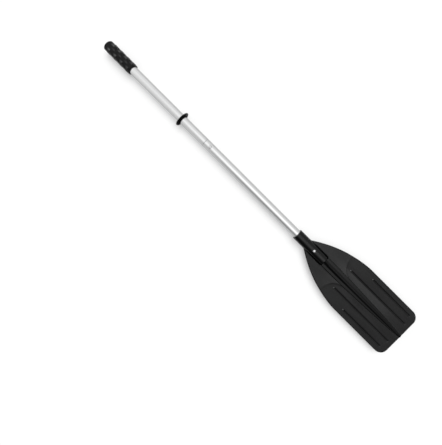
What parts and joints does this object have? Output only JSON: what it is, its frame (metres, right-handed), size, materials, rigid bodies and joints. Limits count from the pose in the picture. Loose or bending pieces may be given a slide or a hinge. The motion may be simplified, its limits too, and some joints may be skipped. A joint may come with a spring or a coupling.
{
  "type": "rowing oar",
  "caption": "Take-down rowing oar for a small inflatable boat: aluminium shaft in two lengths, textured hand grip, sliding stop collar, and a broad flat black plastic blade with a spar.",
  "frame": {"origin": "on the shaft's axis at the middle of the oarlock seat, between the stop collar and the shaft's joint", "axes": "+X along the shaft from the grip to the blade's tip, +Y across the blade, +Z square to the blade's face on the side of the snap buttons"},
  "size_m": [1.37, 0.1804, 0.0536],
  "materials": {
    "grip_plastic": "black moulded grip, semi-gloss, soft raised pads",
    "anodised_tube": "clear anodised drawn aluminium tube, satin, fine drawing lines along it",
    "ferrule_aluminium": "plain drawn aluminium tube",
    "bung_plastic": "soft black polyethylene",
    "button_steel": "bright stainless steel, domed and polished",
    "spring_steel": "stainless spring strip",
    "collar_rubber": "black moulded rubber",
    "blade_plastic": "black moulded polypropylene, fine matte texture on the faces and smoother on the socket"
  },
  "bodies": {
    "upper_section": {"grip": "grip_plastic", "upper_shaft_tube": "anodised_tube", "shaft_ferrule": "ferrule_aluminium", "ferrule_bung": "bung_plastic", "joint_clip_spring": "spring_steel"},
    "collar": {"stop_collar": "collar_rubber"},
    "joint_snap": {"joint_button": "button_steel"},
    "lower_section": {"lower_shaft_tube": "anodised_tube", "lower_tube_upper_bung": "bung_plastic", "lower_tube_lower_bung": "bung_plastic", "blade_clip_spring": "spring_steel"},
    "blade_snap": {"blade_button": "button_steel"},
    "blade": {"blade": "blade_plastic"}
  },
  "joints": [
    {"name": "collar_slide", "type": "slide", "parent": "upper_section", "child": "collar", "axis": [1, 0, 0], "range_m": [-0.225, 0.102]},
    {"name": "joint_button_press", "type": "slide", "parent": "upper_section", "child": "joint_snap", "axis": [0, 0, -1], "range_m": [0, 0.004], "stiffness_N_per_m": 2500, "springref_m": -0.002, "deforming": ["joint_clip_spring"]},
    {"name": "shaft_takedown", "type": "slide", "parent": "upper_section", "child": "lower_section", "axis": [1, 0, 0], "range_m": [0, 0.076], "deforming": ["joint_button"]},
    {"name": "blade_button_press", "type": "slide", "parent": "lower_section", "child": "blade_snap", "axis": [0, 0, -1], "range_m": [0, 0.0052], "stiffness_N_per_m": 2500, "springref_m": -0.002, "deforming": ["blade_clip_spring"]},
    {"name": "blade_takedown", "type": "slide", "parent": "lower_section", "child": "blade", "axis": [1, 0, 0], "range_m": [0, 0.119], "deforming": ["blade_button"]}
  ]
}
